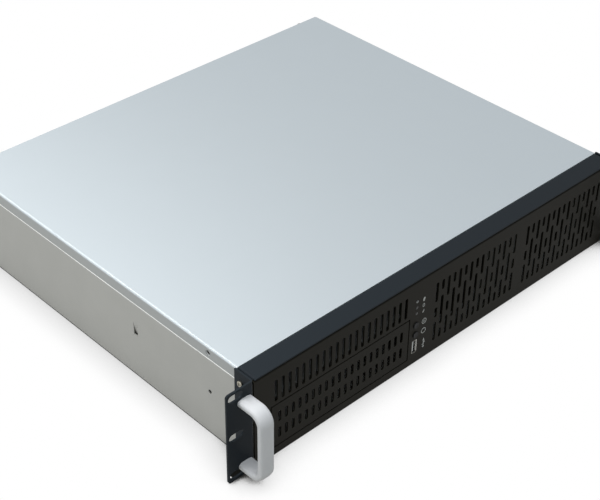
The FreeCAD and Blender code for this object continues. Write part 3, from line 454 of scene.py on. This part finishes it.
def placed(part, place, out):
    """Turns a part so that its third axis points level along out and its first axis up, and
    moves it to its place."""
    points, faces = part
    up = np.array([0, 0, 1.0])
    return points @ np.array([up, np.cross(out, up), out]) + place, faces


# Moulded ABS: deep black with a dull, even sheen.
black_abs = plastic("moulded_black_abs", "#1A1A1A", 0.45)
# (radius, height) from the crowned cap, past the collar behind the face, to the stem's end
cap = [(0, 0.75), (1.2, 0.78), (2.2, 0.86), (2.6, 0.9), (2.8, 0.82), (2.9, 0.62), (2.9, -1.75),
       (4.2, -1.75), (4.2, -2.95), (1.5, -2.95), (1.5, -10.1), (0, -10.1)]
for body, height in zip(("power", "reset"), button_heights):
    new_piece(body + "_cap",
              placed(revolved(cap, sides=40), (control_x, front, height), (0, -1, 0)),
              black_abs, body, body + "_button")

# Polished acrylic: the milky pipe shows as a pale dot, and the smoked ones look all but black
# while unlit.
pipe_tints = (("#80827F", 0.3), ("#1D1D1C", 0.2), ("#1D1D1C", 0.2))
# (radius, height) from the domed lens to the foot on the board
pipe = [(0, 0.3), (0.5, 0.27), (1.0, 0.15), (1.35, -0.05), (1.45, -0.3), (1.45, -8.4),
        (2.35, -8.4), (2.35, -14.4), (0, -14.4)]
for number, (height, (colour, clear)) in enumerate(zip(light_heights, pipe_tints)):
    new_piece("light_pipe_%d" % number,
              placed(revolved(pipe, sides=32), (control_x, front, height), (0, -1, 0)),
              plastic("clear_acrylic_%d" % number, colour, 0.2, clear, shine=0.5),
              node="light_pipes" if number == 0 else None)

# Solder mask: glossy green lacquer, a little lighter in spots where copper lies under it.
board = new_material("solder_mask")
tint = colour_ramp(board, pattern(board, 1.11, detail=1.0), [(0.5, "#0E3321"),
                                                             (0.52, "#17492F")])
dress(finished(board, {"Base Color": tint}, Roughness=0.35), "control_board")
dress(black_abs, "tact_switches")

# White nylon: the matt tongue in the port. Nickel shell: pressed steel, a dull warm mirror.
dress(plastic("moulded_white_nylon", "#E6E6E2", 0.5), "usb_insert")
dress(metal("nickel_plated_shell", "#8E8D88", 0.4), "usb_shell")
shell_inside, shell_outside = 2.3, 2.44
window_depth, window_height, window_lows = (1.7, 9.0), 5.4, (-5.8, 0.4)
# Painted shade: thin black blocks in the shell's side wall stand for the dark seen through its
# spring windows.
spring_window_shade = [solid_box((control_x + shell_inside, front + window_depth[0], port_height + low),
                     (control_x + shell_outside, front + window_depth[1],
                      port_height + low + window_height)) for low in window_lows]
new_piece("usb_spring_window_shade", joined(spring_window_shade), black_abs)
lip_depth, lip_half = (0.25, 1.6), 5.9
lip = solid_box((control_x + shell_inside, front + lip_depth[0], port_height - lip_half),
                (control_x + shell_outside, front + lip_depth[1], port_height + lip_half))
# Painted highlight: a near-white strip on the shell's lip stands for the glint of its cut
# edge.
new_piece("usb_bright_lip", lip, metal("nickel_edge_painted_highlight", "#F4F3EE", 0.6))


# Printed marks beside the controls: white screen ink on the coat, 0.05 mm thick. They are
# generic signs for power, disk, activity, on and off, reset and USB.

# Screen ink: matt, and greyer than paper because the black shines through.
ink = finished(new_material("white_screen_ink"), {}, Base_Color=linear("#BDBDB8"),
               Roughness=0.6)
ink_thickness = 0.05
mark_x, small_x = -29.1, -31.0
power_z, reset_z, ring = 40.1, 30.1, 2.75
lamp_mark = np.array([[-0.7, 61.8], [0.4, 61.8], [0.6, 62.7], [1.4, 64.1], [1.3, 65.2],
                      [0.4, 65.9], [-0.6, 65.3], [-1.1, 64.2], [-1.2, 63.0]]) + [small_x, 0]
disk_mark = [slot_outline(small_x, 55.8, 59.4, 2.4), slot_outline(small_x, 56.4, 58.8, 1.3)]
signal_mark = np.array([[-1.1, 50.2], [0.1, 50.3], [1.1, 51.9], [0.9, 53.0], [0.4, 53.1],
                        [0.1, 52.1], [-1.1, 51.1]]) + [small_x, 0]
power_mark = [circle_outline(mark_x, power_z, ring), circle_outline(mark_x, power_z, 2.2),
              box_outline((mark_x - 0.95, mark_x - 0.45), (39.1, 41.2)),
              box_outline((mark_x + 0.45, mark_x + 0.95), (39.0, 41.1))]
reset_mark = [circle_outline(mark_x, reset_z, ring), circle_outline(mark_x, reset_z, 2.1)]
plug_x = mark_x + 1.0
plug_mark = [circle_outline(plug_x, 12.6, 0.95), slot_outline(plug_x, 14.0, 18.8, 0.8),
             np.array([[-1.0, 19.0], [1.0, 19.0], [0.0, 21.8]]) + [plug_x, 0],
             box_outline((plug_x - 1.7, plug_x - 0.6), (14.8, 15.6)),
             box_outline((plug_x + 0.6, plug_x + 1.6), (16.6, 17.8))]
marks = [pierced_plate(shapes, ink_thickness, 0.0, front - ink_thickness)
         for shapes in ([lamp_mark], disk_mark, [signal_mark], power_mark, reset_mark, plug_mark)]
new_piece("printed_marks", joined(marks), ink)


# Screws: pan heads with a cross recess, nickel plated steel. They hold the ears, handles,
# card covers, fans and all that stands on the floor. Pop rivets, domed aluminium, hold the
# rear panel to the tray.

def cross_recess(r, depth):
    """Lowers the points inside a cross of two bars, 0.34 r wide. The depth falls with the
    square root of what is left of the bar, to nothing at 0.6 r."""
    def shape(u, v, w):
        long, short = np.maximum(abs(u), abs(v)), np.minimum(abs(u), abs(v))
        inside = (short < 0.17 * r) & (long < 0.6 * r) & (w > 0)
        return u, v, np.where(inside, w - depth * (1 - long / (0.6 * r)) ** 0.5, w)
    return shape


def pan_screws(name, places, out, node, r=2.8, height=1.8, shank=1.45, reach=3.4):
    """Heads whose crown falls with the fourth power of the radius, to 0.6 of the height at
    the rim, on round shanks."""
    t = np.linspace(0.04, 1, 18)
    depth = 0.6 * height
    head = [(0, height - depth)] + [(r * s, height * (1 - 0.4 * s ** 4)) for s in t]
    head += [(r, 0.0), (shank, 0.0), (shank, -reach), (0, -reach)]
    screw = revolved(head, sides=48, shape=cross_recess(r, depth))
    parts = [placed(screw, place, way) for place, way in zip(places, out)]
    new_piece(name, joined(parts), nickel, node=node, angle=40.0)


# Nickel plate: a small warm mirror, bright on the crown and dark in the recess.
nickel = metal("nickel_plated_steel", "#9C988C", 0.28)
ear_x, ear_back, ear_heights = 216.6, 12.5, (10.5, 44.0, 77.5)
ear_places = [(side * ear_x, front + ear_back, z) for side in (-1, 1) for z in ear_heights]
pan_screws("ear_pan_screws", ear_places, [(np.sign(p[0]), 0, 0) for p in ear_places],
           "ear_screws")
ear_sheet = 1.6
handle_places = [(side * handle_x, front + ear_sheet, z) for side in (-1, 1)
                 for z in handle_legs]
pan_screws("handle_pan_screws", handle_places, [(0, 1, 0)] * len(handle_places),
           "handle_screws", r=3.8, height=2.4, shank=1.95, reach=10.1)
rear = front + 380.2
card_count, card_first, card_pitch, card_height = 7, 29.6, 20.32, 76.0
card_places = [(card_first - card_pitch * i, rear, card_height) for i in range(card_count)]
pan_screws("card_pan_screws", card_places, [(0, 1, 0)] * card_count, "card_cover_screws",
           reach=4.5)
fan_holes, fan_back = (-35.75, 35.75), 19.0
fan_places = [(x + dx, front + fan_back, fan_height + dz) for x in fan_centres
              for dx in fan_holes for dz in fan_holes]
pan_screws("fan_pan_screws", fan_places, [(0, -1, 0)] * len(fan_places), "fan_screws",
           r=3.6, height=1.8, shank=2.1, reach=5.0)
dress(nickel, "bay_cover_screws", "floor_screws", "control_board_screws")

# (radius, height) from the crown of the dome to the end of the rivet's shank
rivet = [(0, 1.0), (0.6, 0.98), (1.4, 0.88), (2.2, 0.66), (2.8, 0.36), (3.2, 0.05), (3.2, 0.0),
         (1.58, 0.0), (1.58, -1.0), (0, -1.0)]
rivet_x, rivet_heights = 208, (20, 64)
rivets = [placed(revolved(rivet, sides=32), (x, rear, z), (0, 1, 0))
          for x in (-rivet_x, rivet_x) for z in rivet_heights]
# Rivet aluminium: paler than the zinc it stands on, with a small soft highlight.
new_piece("domed_rivets", joined(rivets), metal("drawn_rivet_aluminium", "#B9BABB", 0.4),
          node="rear_rivets")


# Fans: black moulded frames on the sheet behind the face. Each rotor has a cup-shaped hub
# with seven twisted blades, and turns on a shaft in its frame.

def fan_blade(root=(15.2, 15.0, 52.0), tip=(37.2, 21.0, 66.0), bow=1.4, half_thick=0.6,
              steps=7, chord_steps=11):
    """From root to tip the radius, the chord and its lean from the shaft, in degrees, grow
    evenly. The middle line bows by a parabola, and the thickness falls with the square root
    of 1 - 0.89 t squared, to a third at both edges. Each ring is bent onto its own radius."""
    t = np.linspace(-1, 1, chord_steps)
    half = half_thick * np.sqrt(1 - 0.89 * t * t)
    middle = bow * (1 - t * t)
    rings = []
    for radius, chord, lean in np.linspace(root, tip, steps):
        a = math.radians(lean)
        along = np.r_[t, t[::-1]] * chord / 2
        lift = np.r_[middle + half, (middle - half)[::-1]]
        x = math.sin(a) * along + math.cos(a) * lift
        y = -math.cos(a) * along + math.sin(a) * lift
        rings.append(np.c_[x, y, np.sqrt(radius ** 2 - x * x)])
    count = 2 * chord_steps
    k = np.arange(count)
    following = (k + 1) % count
    faces = [k.tolist(), (k + (steps - 1) * count).tolist()]
    for a in range(0, (steps - 1) * count, count):
        faces += np.c_[a + k, a + following, a + count + following, a + count + k].tolist()
    return np.vstack(rings), faces


hub_front, blade_middle, blades = front + 21.0, 9.0, 7
# (radius, height) from the cup's front over its rim, inside it, and along the shaft's boss
cup = [(0, 0), (12.5, 0), (14.8, -0.35), (15.7, -1.1), (16, -2.4), (16, -19), (14.5, -19),
       (14.5, -2), (1.5, -2), (1.5, -19), (0, -19)]
for number, x in enumerate(fan_centres, 1):
    parts = [placed(revolved(cup, sides=64), (x, hub_front, fan_height), (0, -1, 0))]
    points, faces = fan_blade()
    for blade in range(blades):
        a = 2 * math.pi * blade / blades
        turned = np.c_[points[:, 0] * math.cos(a) + points[:, 2] * math.sin(a), points[:, 1],
                       points[:, 2] * math.cos(a) - points[:, 0] * math.sin(a)]
        parts.append((turned + [x, hub_front + blade_middle, fan_height], faces))
    new_piece("bladed_rotor_%d" % number, joined(parts), black_abs,
              "fan_%d" % number, "fan_rotor_%d" % number)
    dress(black_abs, "fan_frame_%d" % number)


# Shoulders of the tray: where a side wall steps in under the cover's flange, its half-round
# corner catches the light as a fine bright line along the seam, which a painted highlight
# in its colour makes brighter.

# Zinc with a painted highlight on the bend: its colour is much lighter than the flat wall's
# below it, and it is less of a mirror.
shoulder_painted_highlight_zinc = galvanised_steel("shoulder_painted_highlight_zinc", "#F0F0EC", "#F4F4F0", metallic=0.3, smooth=0.4,
                               rough=0.45)
shoulder_x, shoulder_height, bead_width, bead_height = 214.25, 76.1, 0.7, 0.8
bead_ends = (front + 19.8, front + 378.5)
arc = np.linspace(0, np.pi, 9)
beads = [run_out(np.c_[side * (shoulder_x + bead_width * np.cos(arc)),
                       shoulder_height + bead_height * np.sin(arc)], bead_ends, 1)
         for side in (-1, 1)]
new_piece("bright_shoulders", joined(beads), shoulder_painted_highlight_zinc)


# Top cover: one folded sheet of smooth galvanised steel, slid in from the back. Countersunk
# dimples in its sides take a screw. Two knurled thumbscrews lock it at the back.

def painted_shade_below(material, colour, height):
    """Multiplies the colour below a height in millimetres: a painted shade that makes the
    folded-down sides of a sheet look duller than its top."""
    shader = material.node_tree.nodes["Principled BSDF"]
    base = shader.inputs["Base Color"].links[0].from_socket
    place = add(material, "ShaderNodeTexCoord").outputs["Object"]
    z = add(material, "ShaderNodeSeparateXYZ", {"Vector": place}).outputs["Z"]
    share = add(material, "ShaderNodeMapRange", {"Value": z}, From_Min=height * mm,
                From_Max=(height + 1) * mm).outputs[0]
    tint = colour_ramp(material, share, [(0.0, colour), (1.0, "#FFFFFF")])
    product = add(material, "ShaderNodeVectorMath", {0: base, 1: tint}, operation="MULTIPLY")
    material.node_tree.links.new(product.outputs[0], shader.inputs["Base Color"])


# Smooth zinc: a cool, nearly even grey that grows lighter where it mirrors the sky. A painted
# shade makes its sides warmer and duller, as the wall under them is.
lid = galvanised_steel("smooth_galvanised_steel", "#BBC2C5", "#BCC3C6", metallic=0.45,
                       smooth=0.45, rough=0.46)
painted_shade_below(lid, "#D6D2CD", 86.0)
dress(lid, "top_cover")
# (radius, height) of the pressed dish with its raised rim, and of the painted shade in it:
# a black disc that stands for the dark of the screw hole
dish = [(0, -0.95), (1.9, -0.95), (2.75, 0.0), (2.9, 0.03), (3.1, 0.03), (3.1, -0.02),
        (2.4, -0.35), (2.1, -1.05), (0, -1.05)]
hole_shade = [(0, -0.9), (1.7, -0.9), (1.88, -0.93), (0, -0.94)]
dimple_x, dimple_back, dimple_height = 215.0, 51.0, 82.0
for name, profile, material, slot in (("cover_dimples", dish, lid, "cover_steel"),
                                      ("dimple_hole_shade", hole_shade, black_abs, "black_plastic")):
    pair = [placed(revolved(profile, sides=32),
                   (side * dimple_x, front + dimple_back, dimple_height), (side, 0, 0))
            for side in (-1, 1)]
    new_piece(name, joined(pair), material, "cover")


def knurl(u, v, w):
    """Straight knurl: between its end chamfers the rim swings 0.16 mm by a cosine, 30 times
    round. A driver's slot 1.2 mm wide is cut 1.4 mm deep across the head."""
    on_rim = (np.hypot(u, v) > 4.6) & (w > 0)
    swing = 1 + np.where(on_rim, 0.034 * (np.cos(30 * np.arctan2(v, u)) - 1) / 2, 0)
    slotted = (abs(v) < 0.6) & (w > 5.9)
    return u * swing, v * swing, np.where(slotted, w - 1.4, w)


# (radius, height) from the slot's floor over the knurled rim to the end of the shank
thumb = [(0, 4.6)] + [(r, 6.0) for r in np.linspace(0.4, 3.9, 10)] + [(4.3, 5.9)]
thumb += [(4.75, 5.5), (4.75, 0.7), (4.4, 0.3), (1.75, 0), (1.75, -9.0), (0, -9.0)]
thumb_x, thumb_back, thumb_height = 196.0, 381.5, 79.0
heads = [placed(revolved(thumb, sides=120, shape=knurl),
                (x, front + thumb_back, thumb_height), (0, 1, 0)) for x in (-thumb_x, thumb_x)]
new_piece("knurled_thumbscrews", joined(heads), nickel, "cover",
          "cover_thumbscrews")


# Studio: pale floor, white surroundings, soft light and the camera, all in metres. The sky
# that lights the case is brighter overhead than at the horizon, which grades the cover from
# front to back.

def plane(name, low, high, z, material):
    """Level rectangle between two corners, part of the studio."""
    mesh = bpy.data.meshes.new(name)
    mesh.from_pydata([(low[0], low[1], z), (high[0], low[1], z), (high[0], high[1], z),
                      (low[0], high[1], z)], [], [(0, 1, 2, 3)])
    mesh.materials.append(material)
    thing = bpy.data.objects.new(name, mesh)
    bpy.context.scene.collection.objects.link(thing)


def looking_rays(thing):
    """1 for the rays that look at the surroundings: from the camera, off gloss and through
    clear plastic. They see white there, and all other rays the studio's own light."""
    path = add(thing, "ShaderNodeLightPath").outputs
    two = add(thing, "ShaderNodeMath", {0: path["Is Camera Ray"], 1: path["Is Glossy Ray"]},
              operation="ADD")
    return add(thing, "ShaderNodeMath", {0: two.outputs[0], 1: path["Is Transmission Ray"]},
               operation="ADD", use_clamp=True).outputs[0]


# Painted floor: white to the looking rays, and dark where less than half of the space within
# 50 mm over it is open, which is the case's soft shadow. It lights the case as a pale grey.
paint = new_material("studio_floor")
shade = add(paint, "ShaderNodeBsdfDiffuse", Color=linear("#ABA9A1"))
open_share = add(paint, "ShaderNodeAmbientOcclusion", Distance=0.05, samples=16).outputs["AO"]
shadow = colour_ramp(paint, open_share, [(0.0, "#1A1A18"), (0.36, "#2A2A28"),
                                         (0.48, "#E0E0E0"), (0.8, "#FFFFFF")])
glow = add(paint, "ShaderNodeEmission", {"Color": shadow}, Strength=1.0)
mix = add(paint, "ShaderNodeMixShader", {"Fac": looking_rays(paint), 1: shade.outputs[0],
                                         2: glow.outputs[0]})
add(paint, "ShaderNodeOutputMaterial", {"Surface": mix.outputs[0]})
floor_half, floor_z = 6.0, -0.0001
plane("floor", (-floor_half, -floor_half), (floor_half, floor_half), floor_z, paint)

# Deep shadow: two small dark fields on the floor behind the ears, seen through their slots.
dark = new_material("deep_shadow")
shade = add(dark, "ShaderNodeBsdfDiffuse", Color=linear("#1A1A18"))
add(dark, "ShaderNodeOutputMaterial", {"Surface": shade.outputs[0]})
field_x, field_half, field_front, field_back = 0.22415, 0.01015, -0.18875, -0.18295
for number, x in enumerate((-field_x, field_x)):
    plane("ear_shadow_%d" % number, (x - field_half, field_front), (x + field_half, field_back),
          0.0, dark)

world = bpy.data.worlds.new("studio")
bpy.context.scene.world = world
world.use_nodes = True
world.node_tree.nodes.clear()
direction = add(world, "ShaderNodeTexCoord").outputs["Generated"]
way = add(world, "ShaderNodeSeparateXYZ", {0: direction})
sky = colour_ramp(world, way.outputs["Z"], [(0.0, "#989690"), (0.42, "#A9B6C4"),
                                            (0.72, "#E2ECF6"), (1.0, "#FFFFFF")])
# The sky in front of the case is a little dimmer than the sky behind it.
share = add(world, "ShaderNodeMapRange", {"Value": way.outputs["Y"]}, From_Min=-1.0,
            From_Max=0.0, To_Min=0.82, To_Max=1.09).outputs[0]
ambient = add(world, "ShaderNodeBackground", {"Color": sky, "Strength": share})
white = add(world, "ShaderNodeBackground", Color=(1, 1, 1, 1), Strength=1.0)
mix = add(world, "ShaderNodeMixShader", {"Fac": looking_rays(world), 1: ambient.outputs[0],
                                         2: white.outputs[0]})
add(world, "ShaderNodeOutputWorld", {"Surface": mix.outputs[0]})


def soft_light(name, place, aim, size, power):
    """Rectangular lamp of a size in metres, pointed from its place at an aim, in watts."""
    lamp = bpy.data.lights.new(name, "AREA")
    lamp.shape = "RECTANGLE"
    lamp.size, lamp.size_y = size
    lamp.energy = power
    thing = bpy.data.objects.new(name, lamp)
    thing.location = place
    thing.rotation_euler = (Vector(aim) - Vector(place)).to_track_quat("-Z", "Y").to_euler()
    thing.visible_camera = False
    bpy.context.scene.collection.objects.link(thing)


soft_light("side_light", (-0.60, 0.0, 0.50), (-0.2, 0.0, 0.05), (0.3, 1.2), 1.3)
soft_light("edge_light", (-0.27, 0.25, 0.36), (-0.27, 0.25, 0.05), (0.12, 1.1), 1.5)

# The camera that was solved from the photo: over the front left corner, looking down.
optics = bpy.data.cameras.new("camera")
optics.lens = 84.05
optics.sensor_width = 36.0
camera = bpy.data.objects.new("camera", optics)
azimuth, elevation, roll = (math.radians(v) for v in (-43.87, 36.43, 0.665))
camera.matrix_world = (Matrix.Translation((-0.715158, -0.757662, 0.762778))
                       @ Matrix.Rotation(azimuth, 4, "Z")
                       @ Matrix.Rotation(math.pi / 2 - elevation, 4, "X")
                       @ Matrix.Rotation(roll, 4, "Z"))
bpy.context.scene.collection.objects.link(camera)
bpy.context.scene.camera = camera
bpy.context.scene.view_settings.view_transform = "Standard"
